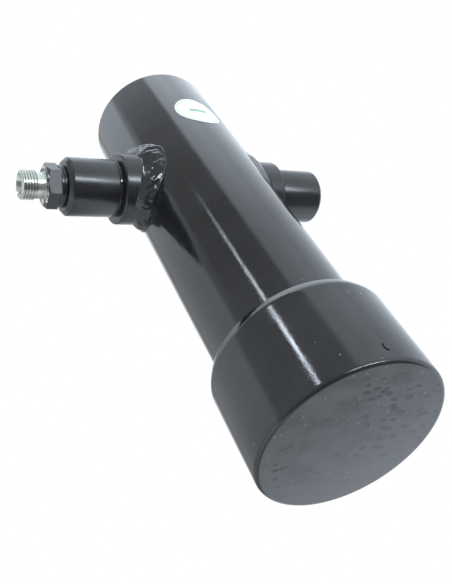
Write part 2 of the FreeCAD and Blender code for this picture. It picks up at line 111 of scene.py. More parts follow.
# %% [markdown]
# ## Modelling helpers
#
# Nearly every piece is turned on a lathe, so one helper spins an outline round the Z axis and
# bevels the rings that a real tool would break.  A spin is better than a cylinder here, because
# the outline can carry every step, chamfer, groove and bore in one closed skin.


# %% Lathe helper
SAME_RING, SAME_POINT = 0.005 * MM, 0.002 * MM


def ring_edges(work, radius, height):
    """The edges of the ring at that radius and height."""
    def on_ring(vert):
        return (abs(math.hypot(vert.co.x, vert.co.y) - radius) < SAME_RING
                and abs(vert.co.z - height) < SAME_RING)
    return [edge for edge in work.edges if all(on_ring(vert) for vert in edge.verts)]


def lathe(corners, steps=128, segments=4, closed=True):
    """Spins (radius, height, rounding) corners round Z; a closed outline makes a closed skin."""
    work = bmesh.new()
    rim = [work.verts.new((radius, 0, height)) for radius, height, _ in corners]
    pairs = list(zip(rim, rim[1:] + (rim[:1] if closed else [])))
    edges = [work.edges.new(pair) for pair in pairs if pair[0].co.x > 0 or pair[1].co.x > 0]
    bmesh.ops.spin(work, geom=rim + edges, axis=(0, 0, 1), cent=(0, 0, 0), dvec=(0, 0, 0),
                   angle=FULL_TURN, steps=steps, use_merge=True, use_duplicate=False)
    bmesh.ops.remove_doubles(work, verts=work.verts, dist=SAME_POINT)
    bmesh.ops.recalc_face_normals(work, faces=work.faces)
    for radius, height, rounding in corners:
        if rounding:
            bmesh.ops.bevel(work, geom=ring_edges(work, radius, height), offset=rounding,
                            segments=segments, profile=0.5, affect="EDGES", material=-1)
    return work


# %% Placing helpers
def to_side(work, side):
    """Turns a piece built along +Z so that it points out along -X or +X at the trunnions."""
    quarter = math.radians(90 if side == "blind" else -90)
    bmesh.ops.rotate(work, verts=work.verts, cent=(0, 0, 0),
                     matrix=Matrix.Rotation(quarter, 3, "Y"))
    bmesh.ops.translate(work, verts=work.verts, vec=(0, 0, trunnion_height))
    return work


def to_object(work, name, body, nodes, materials, sharp=40):
    """Writes the bmesh to an object that rides on a body and stands for CAD nodes."""
    mesh = bpy.data.meshes.new(name)
    work.to_mesh(mesh)
    work.free()
    for material in materials:
        mesh.materials.append(material)
    mesh.shade_smooth()
    mesh.set_sharp_from_angle(angle=math.radians(sharp))
    piece = bpy.data.objects.new(name, mesh)
    bpy.context.collection.objects.link(piece)
    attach(piece, body)
    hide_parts(*nodes)
    print(name, "has", len(mesh.polygons), "faces")
    return piece


def mill(work, cutters):
    """Takes box cutters, each a (low corner, high corner) pair, out of a turned skin."""
    blank_mesh = bpy.data.meshes.new("blank")
    work.to_mesh(blank_mesh)
    work.free()
    tool = bmesh.new()
    for low, high in cutters:
        cube = bmesh.ops.create_cube(tool, size=1)["verts"]
        bmesh.ops.scale(tool, verts=cube, vec=Vector(high) - Vector(low))
        bmesh.ops.translate(tool, verts=cube, vec=(Vector(high) + Vector(low)) / 2)
    tool_mesh = bpy.data.meshes.new("tool")
    tool.to_mesh(tool_mesh)
    tool.free()
    blank, cutter = [bpy.data.objects.new("milling", mesh) for mesh in (blank_mesh, tool_mesh)]
    for thing in (blank, cutter):
        bpy.context.collection.objects.link(thing)
    cut = blank.modifiers.new("cut", "BOOLEAN")
    cut.operation, cut.solver, cut.object = "DIFFERENCE", "EXACT", cutter
    milled = bmesh.new()
    milled.from_object(blank, bpy.context.evaluated_depsgraph_get())
    for thing in (blank, cutter):
        bpy.data.objects.remove(thing)
    for mesh in (blank_mesh, tool_mesh):
        bpy.data.meshes.remove(mesh)
    return milled


# %% [markdown]
# ## Finishes shared by several materials
#
# Sprayed enamel is never a mirror: it dries with a fine dimpled skin, catches dust while wet and
# gets rubbed in handling.  Turned metal keeps the fine rings of the tool.  Each of these effects
# is a node group, so that every piece shares one recipe with its own strength.


# %% Node helpers
def new_group(name, inputs, outputs):
    """An empty node group with float inputs and the named outputs."""
    group = bpy.data.node_groups.new(name, "ShaderNodeTree")
    for label, value in inputs.items():
        socket = group.interface.new_socket(label, in_out="INPUT", socket_type="NodeSocketFloat")
        socket.default_value = value
    for label, kind in outputs.items():
        group.interface.new_socket(label, in_out="OUTPUT", socket_type=kind)
    return group, group.nodes.new("NodeGroupInput"), group.nodes.new("NodeGroupOutput")


def add(tree, kind, settings=None, inputs=None):
    """Adds a node; settings are its attributes, inputs its values or the sockets to link."""
    node = tree.nodes.new(kind)
    for key, value in (settings or {}).items():
        setattr(node, key, value)
    for key, value in (inputs or {}).items():
        if isinstance(value, bpy.types.NodeSocket):
            tree.links.new(value, node.inputs[key])
        else:
            node.inputs[key].default_value = value
    return node


def math_node(tree, operation, *values):
    return add(tree, "ShaderNodeMath", {"operation": operation},
               dict(enumerate(values))).outputs[0]


def ramp(tree, value, low, high, start=0.0, end=1.0):
    """Maps value from low..high to start..end, held at both ends."""
    return add(tree, "ShaderNodeMapRange", {"clamp": True},
               {"Value": value, "From Min": low, "From Max": high,
                "To Min": start, "To Max": end}).outputs["Result"]


def mix_colour(tree, factor, first, second):
    node = add(tree, "ShaderNodeMix", {"data_type": "RGBA"})
    for socket, value in ((node.inputs[0], factor), (node.inputs[6], first),
                          (node.inputs[7], second)):
        if isinstance(value, bpy.types.NodeSocket):
            tree.links.new(value, socket)
        else:
            socket.default_value = value
    return node.outputs[2]


def noise_node(tree, place, scale, seed, detail=2.0, roughness=0.5):
    return add(tree, "ShaderNodeTexNoise", {"noise_dimensions": "4D"},
               {"Vector": place, "Scale": scale, "W": seed, "Detail": detail,
                "Roughness": roughness}).outputs["Fac"]


# %% Orange peel group
peel, peel_in, peel_out = new_group(
    "orange_peel", {"Scale": 700.0, "Grain": 0.75, "Seed": 0.0}, {"Height": "NodeSocketFloat"})
peel_place = add(peel, "ShaderNodeTexCoord").outputs["Object"]
dimples = noise_node(peel, peel_place, peel_in.outputs["Scale"], peel_in.outputs["Seed"], 2.0, 0.45)
grain_scale = math_node(peel, "MULTIPLY", peel_in.outputs["Scale"], 1.35)
grain = noise_node(peel, peel_place, grain_scale, peel_in.outputs["Seed"], 1.0)
sags = noise_node(peel, peel_place, 60.0, peel_in.outputs["Seed"], 1.0)
peel_height = math_node(peel, "ADD", math_node(peel, "MULTIPLY", dimples, 0.35),
                        math_node(peel, "MULTIPLY", sags, 1.6))
peel_height = math_node(peel, "MULTIPLY_ADD", grain, peel_in.outputs["Grain"], peel_height)
peel.links.new(peel_height, peel_out.inputs["Height"])

# %% Dust and grit group
dust, dust_in, dust_out = new_group(
    "dust_and_grit", {"Scale": 420.0, "Amount": 0.5, "Seed": 0.0},
    {"Specks": "NodeSocketFloat", "Film": "NodeSocketFloat"})
dust_place = add(dust, "ShaderNodeTexCoord").outputs["Object"]
grains = add(dust, "ShaderNodeTexVoronoi", {"voronoi_dimensions": "4D"},
             {"Vector": dust_place, "Scale": dust_in.outputs["Scale"],
              "W": dust_in.outputs["Seed"], "Randomness": 1.0})
grain_size = math_node(dust, "MULTIPLY", dust_in.outputs["Amount"], 0.22)
specks = math_node(dust, "LESS_THAN", grains.outputs["Distance"], grain_size)
chosen = math_node(dust, "GREATER_THAN",
                   add(dust, "ShaderNodeSeparateColor",
                       inputs={"Color": grains.outputs["Color"]}).outputs[0], 0.72)
dust.links.new(math_node(dust, "MULTIPLY", specks, chosen), dust_out.inputs["Specks"])
clouds = noise_node(dust, dust_place, 38.0, dust_in.outputs["Seed"], 6.0, 0.62)
film = math_node(dust, "MULTIPLY", ramp(dust, clouds, 0.42, 0.72), dust_in.outputs["Amount"])
dust.links.new(film, dust_out.inputs["Film"])

# %% Tool ring group
rings, rings_in, rings_out = new_group(
    "tool_rings", {"Pitch": 9000.0, "Seed": 0.0},
    {"Height": "NodeSocketFloat", "Stain": "NodeSocketFloat"})
ring_place = add(rings, "ShaderNodeTexCoord").outputs["Object"]
ring_axes = add(rings, "ShaderNodeSeparateXYZ", inputs={"Vector": ring_place})
along = add(rings, "ShaderNodeCombineXYZ", inputs={
    "X": math_node(rings, "MULTIPLY", ring_axes.outputs["X"], 0.02),
    "Y": math_node(rings, "MULTIPLY", ring_axes.outputs["Y"], 0.02),
    "Z": ring_axes.outputs["Z"]})
rings.links.new(noise_node(rings, along.outputs["Vector"], rings_in.outputs["Pitch"],
                           rings_in.outputs["Seed"], 3.0), rings_out.inputs["Height"])
rings.links.new(noise_node(rings, ring_place, 90.0, rings_in.outputs["Seed"], 5.0, 0.6),
                rings_out.inputs["Stain"])

# %% [markdown]
# ## Black enamel
#
# The barrel, cup and trunnions share one glossy black enamel.  Its colour is nearly black, so
# what the eye reads is the reflection: the roughness stays low and only dust and rubbing raise
# it.  The dimples go to the normal through a bump.


# %% Enamel material
ENAMEL_BLACK = (0.0105, 0.0108, 0.0112, 1)
DUST_GREY = (0.20, 0.21, 0.22, 1)
GRIT_TAN = (0.42, 0.39, 0.34, 1)


def enamel(name, roughness=0.05, dust_amount=0.35, peel_depth=3.2e-5, peel_scale=1300.0, seed=0.0):
    """Glossy black enamel; returns the material."""
    material = bpy.data.materials.new(name)
    material.use_nodes = True
    tree = material.node_tree
    shader = tree.nodes["Principled BSDF"]
    grit = add(tree, "ShaderNodeGroup", {"node_tree": dust},
               {"Amount": dust_amount, "Seed": seed})
    skin = add(tree, "ShaderNodeGroup", {"node_tree": peel},
               {"Scale": peel_scale, "Seed": seed})
    tired = mix_colour(tree, math_node(tree, "MULTIPLY", grit.outputs["Film"], 0.10),
                       ENAMEL_BLACK, DUST_GREY)
    speckled = mix_colour(tree, grit.outputs["Specks"], tired, GRIT_TAN)
    tree.links.new(speckled, shader.inputs["Base Color"])
    worn = math_node(tree, "MULTIPLY_ADD", grit.outputs["Film"], 0.28, roughness)
    rough = math_node(tree, "MAXIMUM", worn, math_node(tree, "MULTIPLY",
                                                       grit.outputs["Specks"], 0.6))
    tree.links.new(rough, shader.inputs["Roughness"])
    shader.inputs["IOR"].default_value = 1.52
    bump = add(tree, "ShaderNodeBump", inputs={
        "Height": skin.outputs["Height"], "Distance": peel_depth, "Strength": 1.0})
    tree.links.new(bump.outputs["Normal"], shader.inputs["Normal"])
    return material


barrel_enamel = enamel("barrel_enamel")
cup_enamel = enamel("cup_enamel", dust_amount=0.5, seed=1.0)
trunnion_enamel = enamel("trunnion_enamel", roughness=0.22, dust_amount=0.25,
                         peel_scale=1700.0, seed=3.0)
weld_enamel = enamel("weld_enamel", roughness=0.06, dust_amount=0.3, peel_scale=700.0, seed=5.0)
print("enamel materials:", barrel_enamel.name, trunnion_enamel.name, weld_enamel.name)

# %% [markdown]
# ## Handled enamel on the cup's end
#
# The flat end stands on the bench and gets wiped, so its enamel is duller than the wall's.  It
# has cloudy smears, darker dabs where the coat is thick, and a few long scratches.  Noise gives
# the clouds, a stretched noise the smears, and a coarse cell pattern the dabs.


# %% Cup end material
def scratch(tree, place, angle, offset, seed):
    """A mask of one thin straight scratch: a narrow band across the face, broken by noise."""
    turned = add(tree, "ShaderNodeMapping", {"vector_type": "POINT"},
                 {"Vector": place, "Location": (0, offset, 0), "Rotation": (0, 0, angle)})
    across = add(tree, "ShaderNodeSeparateXYZ", inputs={"Vector": turned.outputs["Vector"]})
    wobble = math_node(tree, "MULTIPLY", noise_node(tree, place, 30.0, seed), 0.003)
    line = math_node(tree, "LESS_THAN", math_node(
        tree, "ABSOLUTE", math_node(tree, "ADD", across.outputs["Y"], wobble)), 0.00016)
    return math_node(tree, "MULTIPLY", line, math_node(
        tree, "GREATER_THAN", noise_node(tree, place, 55.0, seed + 1), 0.53))


cup_end_enamel = enamel("cup_end_enamel", roughness=0.24, dust_amount=0.55, peel_scale=900.0,
                        seed=9.0)
end_tree = cup_end_enamel.node_tree
end_shader = end_tree.nodes["Principled BSDF"]
end_place = add(end_tree, "ShaderNodeTexCoord").outputs["Object"]
smear_place = add(end_tree, "ShaderNodeMapping", inputs={
    "Vector": end_place, "Rotation": (0, 0, math.radians(-25)), "Scale": (1, 1.7, 1)})
smeared_along = smear_place.outputs["Vector"]
smears = noise_node(end_tree, smeared_along, 60.0, 2.0, 6.0, 0.66)
dabs = add(end_tree, "ShaderNodeTexVoronoi", {"feature": "SMOOTH_F1"},
           {"Vector": smeared_along, "Scale": 150.0, "Smoothness": 0.25, "Randomness": 1.0})
dab_shape = ramp(end_tree, dabs.outputs["Distance"], 0.26, 0.42, 1.0, 0.0)
end_axes = add(end_tree, "ShaderNodeSeparateXYZ", inputs={"Vector": end_place})
dab_region = ramp(end_tree, math_node(end_tree, "MULTIPLY_ADD", end_axes.outputs["X"], 2.8, noise_node(
    end_tree, end_place, 26.0, 5.0, 2.0)), 0.44, 0.56)
dab_mask = math_node(end_tree, "MULTIPLY", dab_shape, dab_region)
handled = math_node(end_tree, "MULTIPLY", ramp(end_tree, smears, 0.36, 0.68, 0.25, 1.0),
                    math_node(end_tree, "SUBTRACT", 1.0, dab_mask))
end_grit = add(end_tree, "ShaderNodeGroup", {"node_tree": dust},
               {"Scale": 620.0, "Amount": 0.9, "Seed": 21.0})
scratches = math_node(end_tree, "MAXIMUM", scratch(end_tree, end_place, 0.42, 0.012, 4.0),
                      scratch(end_tree, end_place, -0.5, -0.024, 7.0))
end_tree.links.new(math_node(end_tree, "MULTIPLY_ADD", handled, 0.26, 0.12),
                   end_shader.inputs["Roughness"])
greasy = math_node(end_tree, "MAXIMUM", math_node(end_tree, "MULTIPLY", dab_mask, 0.38),
                   ramp(end_tree, smears, 0.36, 0.66, 0.30, 0.0))
end_tree.links.new(math_node(end_tree, "MAXIMUM", greasy, scratches), end_shader.inputs["Metallic"])
powder = mix_colour(end_tree, handled, (0.006, 0.0065, 0.007, 1), (0.040, 0.041, 0.041, 1))
gritty = mix_colour(end_tree, math_node(end_tree, "MULTIPLY", end_grit.outputs["Specks"], 0.55),
                    powder, GRIT_TAN)
end_tree.links.new(mix_colour(end_tree, math_node(end_tree, "MULTIPLY", scratches, 0.5),
                              gritty, (0.012, 0.012, 0.012, 1)), end_shader.inputs["Base Color"])

# %% [markdown]
# ## Bare metals
#
# The stage and plunger are hard chrome, ground and polished; the gland rings are bronze; the
# coupling is zinc plate with a pale yellow cast; the snap rings are dark spring steel.  One
# function makes them all from a colour, a roughness and the shared tool rings.


# %% Metal material
def metal(name, colour, stain, roughness, groove_depth, pitch, seed):
    """A turned metal: base colour, the colour of its stains, roughness and tool rings."""
    material = bpy.data.materials.new(name)
    material.use_nodes = True
    tree = material.node_tree
    shader = tree.nodes["Principled BSDF"]
    tooling = add(tree, "ShaderNodeGroup", {"node_tree": rings}, {"Pitch": pitch, "Seed": seed})
    grit = add(tree, "ShaderNodeGroup", {"node_tree": dust}, {"Amount": 0.2, "Seed": seed})
    stained = mix_colour(tree, ramp(tree, tooling.outputs["Stain"], 0.45, 0.75), colour, stain)
    tree.links.new(mix_colour(tree, grit.outputs["Specks"], stained, stain),
                   shader.inputs["Base Color"])
    tree.links.new(math_node(tree, "ADD", ramp(tree, tooling.outputs["Stain"], 0.35, 0.75,
                                               0.0, roughness * 0.8), roughness),
                   shader.inputs["Roughness"])
    shader.inputs["Metallic"].default_value = 1.0
    bump = add(tree, "ShaderNodeBump", inputs={
        "Height": tooling.outputs["Height"], "Distance": groove_depth, "Strength": 1.0})
    tree.links.new(bump.outputs["Normal"], shader.inputs["Normal"])
    return material


chrome = metal("ground_chrome", (0.62, 0.64, 0.66, 1), (0.54, 0.56, 0.58, 1), 0.07, 1e-6,
               5000.0, 1.0)
machined = metal("machined_steel", (0.46, 0.46, 0.47, 1), (0.33, 0.32, 0.31, 1), 0.26, 4e-6,
                 2400.0, 2.0)
spring = metal("spring_steel", (0.10, 0.10, 0.11, 1), (0.06, 0.055, 0.05, 1), 0.35, 3e-6,
               3000.0, 3.0)
bronze = metal("guide_bronze", (0.60, 0.38, 0.17, 1), (0.42, 0.25, 0.12, 1), 0.3, 3e-6,
               2600.0, 4.0)
zinc = metal("zinc_plate", (0.50, 0.515, 0.47, 1), (0.34, 0.34, 0.29, 1), 0.2, 3e-6,
             4000.0, 6.0)

# %% [markdown]
# ## Rubber and plastic
#
# Seals are black rubber with a faint moulded grain and a pale bloom.  A bump from fine noise and
# a slow change of colour are enough at their size.


# %% Rubber material
rubber = bpy.data.materials.new("seal_rubber")
rubber.use_nodes = True
rubber_tree = rubber.node_tree
rubber_shader = rubber_tree.nodes["Principled BSDF"]
rubber_place = add(rubber_tree, "ShaderNodeTexCoord").outputs["Object"]
bloom = noise_node(rubber_tree, rubber_place, 70.0, 1.0, 5.0, 0.6)
rubber_tree.links.new(mix_colour(rubber_tree, ramp(rubber_tree, bloom, 0.4, 0.8),
                                 (0.012, 0.012, 0.013, 1), (0.045, 0.045, 0.047, 1)),
                      rubber_shader.inputs["Base Color"])
rubber_tree.links.new(ramp(rubber_tree, bloom, 0.3, 0.8, 0.42, 0.68),
                      rubber_shader.inputs["Roughness"])
rubber_grain = add(rubber_tree, "ShaderNodeBump", inputs={
    "Height": noise_node(rubber_tree, rubber_place, 2500.0, 2.0), "Distance": 5e-6,
    "Strength": 1.0})
rubber_tree.links.new(rubber_grain.outputs["Normal"], rubber_shader.inputs["Normal"])

# %% [markdown]
# ## Base cup
#
# The cup is turned from bar: a flat sawn end, a well-rounded rim, a straight wall and a slow
# taper at the mouth.  One lathe outline makes it, down to the seat that the tube screws into.
# The faces of the flat end take the handled enamel.  A chip near the rim is a crescent, the part
# of one oval outside another, where the enamel turns dull and black.

# %% Base cup
cup_work = lathe([
    (0, 0, 0), (cap_radius, 0, 2.2 * MM), (cap_radius, cap_length - 4.8 * MM, 1.2 * MM),
    (cap_radius - 2.1 * MM, cap_length, 0.5 * MM), (tube_radius + 0.1 * MM, cap_length, 0.2 * MM),
    (tube_radius + 0.1 * MM, floor_height, 0), (0, floor_height, 0)], steps=160, segments=5)
chip_centre = Vector((0, -cap_radius, 8.2 * MM))
cup_tree = cup_enamel.node_tree
chip_place = add(cup_tree, "ShaderNodeTexCoord").outputs["Object"]


def chip_distance(centre, reach):
    """Distance from a chip's centre in units of its reach along each axis."""
    placed = add(cup_tree, "ShaderNodeVectorMath", {"operation": "SUBTRACT"},
                 {0: chip_place, 1: centre})
    scaled = add(cup_tree, "ShaderNodeVectorMath", {"operation": "DIVIDE"},
                 {0: placed.outputs["Vector"], 1: reach})
    return add(cup_tree, "ShaderNodeVectorMath", {"operation": "LENGTH"},
               {0: scaled.outputs["Vector"]}).outputs["Value"]


for face in cup_work.faces:
    if face.calc_center_median().z < 0.02 * MM:
        face.material_index = 1
outer = math_node(cup_tree, "LESS_THAN", chip_distance(
    chip_centre, (1.4 * MM, 1 * MM, 2.3 * MM)), 1.0)
inner = math_node(cup_tree, "GREATER_THAN", chip_distance(
    chip_centre + Vector((1.0 * MM, 0, 0.6 * MM)), (1.5 * MM, 1.5 * MM, 2.1 * MM)), 1.0)
chip = math_node(cup_tree, "MULTIPLY", outer, inner)
cup_shader = cup_tree.nodes["Principled BSDF"]
cup_tree.links.new(chip, cup_shader.inputs["Metallic"])
cup_gloss = cup_shader.inputs["Roughness"].links[0].from_socket
cup_tree.links.new(math_node(cup_tree, "MAXIMUM", cup_gloss, math_node(
    cup_tree, "MULTIPLY", chip, 0.95)), cup_shader.inputs["Roughness"])
cup_bump = cup_shader.inputs["Normal"].links[0].from_node
cup_skin = cup_bump.inputs["Height"].links[0].from_socket
cup_tree.links.new(math_node(cup_tree, "SUBTRACT", cup_skin, math_node(
    cup_tree, "MULTIPLY", chip, 6.0)), cup_bump.inputs["Height"])
to_object(cup_work, "base_cup", "barrel", ["base_cap"],
          [cup_enamel, cup_end_enamel])

# %% Barrel
barrel_work = lathe([
    (tube_bore, floor_height, 0), (tube_radius, floor_height, 0),
    (tube_radius, tube_end, 1.2 * MM), (gland_high.x, tube_end, 0.5 * MM),
    (gland_high.x, gland_low.z, 0), (tube_bore, gland_low.z, 0)], steps=160)
to_object(barrel_work, "barrel_shell", "barrel", ["barrel_tube"], [barrel_enamel])

# %% [markdown]
# ## Trunnions
#
# Each trunnion is a pin in a stiffening collar.  Both are lathe work turned onto the X axis.
# Their feet run on into the tube's wall, where the weld hides the joint.  A narrow groove with
# a small root weld parts the pin from the collar.

# %% Trunnions
OIL_PASSAGE, PIN_CHAMFER = 4 * MM, 2.2 * MM  # the passage's radius; the chamfer's leg
groove_foot = collar_end
groove_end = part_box("blind_pin_weld")[1].x
spigot_radius = pin_radius - 1.0 * MM
for side in ("blind", "port"):
    collar_work = lathe([
        (spigot_radius, saddle_depth, 0), (collar_radius, saddle_depth, 0),
        (collar_radius, collar_end, 1.0 * MM), (spigot_radius, collar_end, 0)], steps=96)
    to_object(to_side(collar_work, side), side + "_trunnion_collar", "barrel",
              [side + "_collar"], [trunnion_enamel])
    hollow = OIL_PASSAGE if side == "port" else 0
    pin_work = lathe([
        (hollow, saddle_depth, 0), (spigot_radius, saddle_depth, 0),
        (spigot_radius, groove_end, 0), (pin_radius, groove_end, 0.6 * MM),
        (pin_radius, pin_end - PIN_CHAMFER, 0.5 * MM),
        (pin_radius - PIN_CHAMFER, pin_end, 0.5 * MM), (hollow, pin_end, 0)], steps=96)
    to_object(to_side(pin_work, side), side + "_trunnion_pin", "barrel",
              [side + "_pin"], [trunnion_enamel])
    root_work = lathe([
        (spigot_radius, groove_foot, 0), (spigot_radius + 0.5 * MM, groove_foot, 0),
        (spigot_radius + 0.75 * MM, (groove_foot + groove_end) / 2, 0.4 * MM),
        (spigot_radius + 0.5 * MM, groove_end, 0), (spigot_radius, groove_end, 0)], steps=96)
    to_object(to_side(root_work, side), side + "_root_weld", "barrel",
              [side + "_pin_weld"], [weld_enamel])

# %% [markdown]
# ## Collar welds
#
# A heavy fillet joins each collar to the tube.  It was laid by hand, so it is smooth where it
# leaves the collar, lumpy towards its toe, and its edge wanders.
# A lathe ring is draped over the tube: each height becomes a height above the tube's skin.  The
# ring's vertices are then pushed in and out, so that the lumps are real geometry and glint.


# %% Collar welds
THIN_SIDE = math.radians(129)  # where round the collar a leaning bead is thinnest


def bead_lump(bearing, across, seed, roughness):
    """How far the bead stands proud there; across runs from 0 at the collar to 1 at the toe."""
    place = Vector((math.cos(bearing) * 5.5, math.sin(bearing) * 5.5, across * 2.4 + seed))
    lumps = noise.noise(place) + 0.55 * noise.noise(place * 1.9 + Vector((7, 0, 0)))
    toe = min(max((across - 0.25) / 0.35, 0), 1)
    swell = math.sin(math.pi * min(max(across, 0), 1)) ** 0.8
    return swell * (roughness * lumps * (0.25 + 0.95 * toe) + 0.75) * MM


def collar_weld(side, leg, spread, roughness, lean, seed):
    """One saddle-shaped bead: leg up the collar, spread along the tube, in metres.

    Lean is the share that the bead is thinner by on the side turned down and away.
    """
    rows = 22
    outline = [(collar_radius - 0.6 * MM, -1.5 * MM, 0), (collar_radius - 0.6 * MM, leg, 0)]
    for row in range(rows + 1):
        across = row / rows
        outline.append((collar_radius + spread * across, leg * (1 - across), 0))
    outline.append((collar_radius + spread, -1.5 * MM, 0))
    work = lathe(outline, steps=420)
    outward = Vector((leg, spread)).normalized()
    for vert in work.verts:
        radius = math.hypot(vert.co.x, vert.co.y)
        bearing = math.atan2(vert.co.y, vert.co.x)
        across = (radius - collar_radius) / spread
        if vert.co.z > -1 * MM and across > -0.01:
            wander = 1 + 0.10 * roughness * noise.noise(
                Vector((math.cos(bearing) * 3, math.sin(bearing) * 3, seed + 40)))
            wander -= lean * max(0, math.cos(bearing - THIN_SIDE)) ** 2
            proud = bead_lump(bearing, across, seed, roughness)
            radius = collar_radius + (radius - collar_radius) * wander + outward.x * proud
            height = vert.co.z * wander + outward.y * proud
            vert.co = Vector((radius * math.cos(bearing), radius * math.sin(bearing), height))
        vert.co.z += math.sqrt(max(tube_radius ** 2 - vert.co.y ** 2, 0))
    return to_object(to_side(work, side), side + "_collar_bead", "barrel",
                     [side + "_collar_weld"], [weld_enamel], sharp=70)


collar_weld("port", 7.6 * MM, 6.2 * MM, 1.0, 0.3, 11.0)
collar_weld("blind", 7.2 * MM, 6.0 * MM, 0.45, 0.0, 23.0)

# %% [markdown]
# ## Oil coupling
#
# The coupling is turned from hexagon bar: a flange-like hexagon, a relief, a fine thread and a
# 24 degree cone for the pipe.  The body is a lathe skin left open where the thread goes.  Six
# plane cuts mill the flats, which gives the curved chamfer edges of a real nut.  The thread is
# a true helix: one tooth is spun while it advances, then trimmed and bridged to the body.

# %% Coupling body
hex_flat, hex_bearing = 11 * MM, math.radians(14)
hex_foot, coupling_end = -bonded_low.x, -adapter_low.x
hex_end, thread_foot = hex_foot + 7 * MM, hex_foot + 11.6 * MM
neck_radius, thread_radius, tooth_depth, pitch = 7.1 * MM, 8 * MM, 0.92 * MM, 1.5 * MM
blank_radius = hex_flat * 1.2
chamfer = (blank_radius - hex_flat * 0.95) * math.tan(math.radians(30))
coupling_work = lathe([
    (6.3 * MM, coupling_end, 0.1 * MM), (5.05 * MM, coupling_end - 1.9 * MM, 0),
    (5.05 * MM, coupling_end - 8.9 * MM, 0), (4 * MM, coupling_end - 8.9 * MM, 0),
    (4 * MM, pin_end - 12 * MM, 0), (7 * MM, pin_end - 12 * MM, 0), (8 * MM, pin_end - 11 * MM, 0),
    (8 * MM, hex_foot, 0), (blank_radius, hex_foot, 0), (blank_radius, hex_end - chamfer, 0),
    (hex_flat * 0.95, hex_end, 0.15 * MM), (neck_radius, hex_end, 0.5 * MM),
    (neck_radius, thread_foot, 0)], steps=96, closed=False)
for flat in range(6):
    bearing = hex_bearing + math.radians(60 * flat + 30)
    facing = Vector((math.cos(bearing), math.sin(bearing), 0))
    everything = coupling_work.verts[:] + coupling_work.edges[:] + coupling_work.faces[:]
    sawn = bmesh.ops.bisect_plane(coupling_work, geom=everything, dist=1e-7,
                                  plane_co=facing * hex_flat, plane_no=facing, clear_outer=True)
    bmesh.ops.edgeloop_fill(coupling_work, edges=[
        thing for thing in sawn["geom_cut"] if isinstance(thing, bmesh.types.BMEdge)])
print("hexagon across flats, mm:", round(2 * hex_flat / MM, 2))

# %% Coupling thread
TEETH_PER_TURN = 72
turns = 8
thread_work = bmesh.new()
root_radius = thread_radius - tooth_depth
tooth = [(root_radius, 0), (root_radius, 0.12), (thread_radius, 0.44), (thread_radius, 0.56),
         (root_radius, 0.88), (root_radius, 1)]
tooth_verts = [thread_work.verts.new((radius, 0, thread_foot + (share - 2) * pitch))
               for radius, share in tooth]
tooth_edges = [thread_work.edges.new(pair) for pair in zip(tooth_verts, tooth_verts[1:])]
bmesh.ops.spin(thread_work, geom=tooth_verts + tooth_edges, axis=(0, 0, 1), cent=(0, 0, 0),
               dvec=(0, 0, pitch / TEETH_PER_TURN), angle=FULL_TURN * turns,
               steps=TEETH_PER_TURN * turns, use_merge=False, use_duplicate=False)
bmesh.ops.remove_doubles(thread_work, verts=thread_work.verts, dist=5e-6)
for height, up in ((thread_foot + 0.25 * MM, -1), (coupling_end - 0.25 * MM, 1)):
    everything = thread_work.verts[:] + thread_work.edges[:] + thread_work.faces[:]
    bmesh.ops.bisect_plane(thread_work, geom=everything, dist=1e-7, plane_co=(0, 0, height),
                           plane_no=(0, 0, up), clear_outer=True)
for vert in thread_work.verts:
    from_ends = min(3 * (vert.co.z - thread_foot), coupling_end - vert.co.z + 0.3 * MM)
    radius = math.hypot(vert.co.x, vert.co.y)
    allowed = min(radius, neck_radius - 0.1 * MM + from_ends)
    vert.co.x *= allowed / radius
    vert.co.y *= allowed / radius
thread_mesh = bpy.data.meshes.new("thread")
thread_work.to_mesh(thread_mesh)
thread_work.free()
coupling_work.from_mesh(thread_mesh)
bpy.data.meshes.remove(thread_mesh)
for height in (thread_foot, coupling_end):
    open_edges = [edge for edge in coupling_work.edges if edge.is_boundary
                  and abs(edge.verts[0].co.z - height) < 1 * MM]
    bmesh.ops.bridge_loops(coupling_work, edges=open_edges)
bmesh.ops.recalc_face_normals(coupling_work, faces=coupling_work.faces)
still_open = sum(edge.is_boundary for edge in coupling_work.edges)
print("open edges left in the coupling:", still_open)

# %% [markdown]
# ## Chipped paint on the hexagon
#
# The hexagon was sprayed with the barrel and a spanner has since knocked the paint off its outer
# corners.  A noise mask that grows towards the outer end swaps the enamel for zinc.

# %% Hexagon material
hex_paint = enamel("hexagon_enamel", roughness=0.32, dust_amount=0.5, peel_scale=1600.0,
                   peel_depth=0.00003, seed=12.0)
hex_tree = hex_paint.node_tree
hex_shader = hex_tree.nodes["Principled BSDF"]
hex_place = add(hex_tree, "ShaderNodeTexCoord").outputs["Object"]
hex_axes = add(hex_tree, "ShaderNodeSeparateXYZ", inputs={"Vector": hex_place})
towards_end = ramp(hex_tree, hex_axes.outputs["X"], -(hex_end - 0.9 * MM), -hex_end)
flakes = noise_node(hex_tree, hex_place, 330.0, 3.0, 4.0, 0.62)
chipped = math_node(hex_tree, "GREATER_THAN", math_node(
    hex_tree, "ADD", flakes, math_node(hex_tree, "MULTIPLY", towards_end, 0.22)), 0.735)
hex_colour = hex_shader.inputs["Base Color"].links[0].from_socket
hex_tree.links.new(mix_colour(hex_tree, chipped, hex_colour, (0.70, 0.68, 0.60, 1)),
                   hex_shader.inputs["Base Color"])
hex_tree.links.new(chipped, hex_shader.inputs["Metallic"])

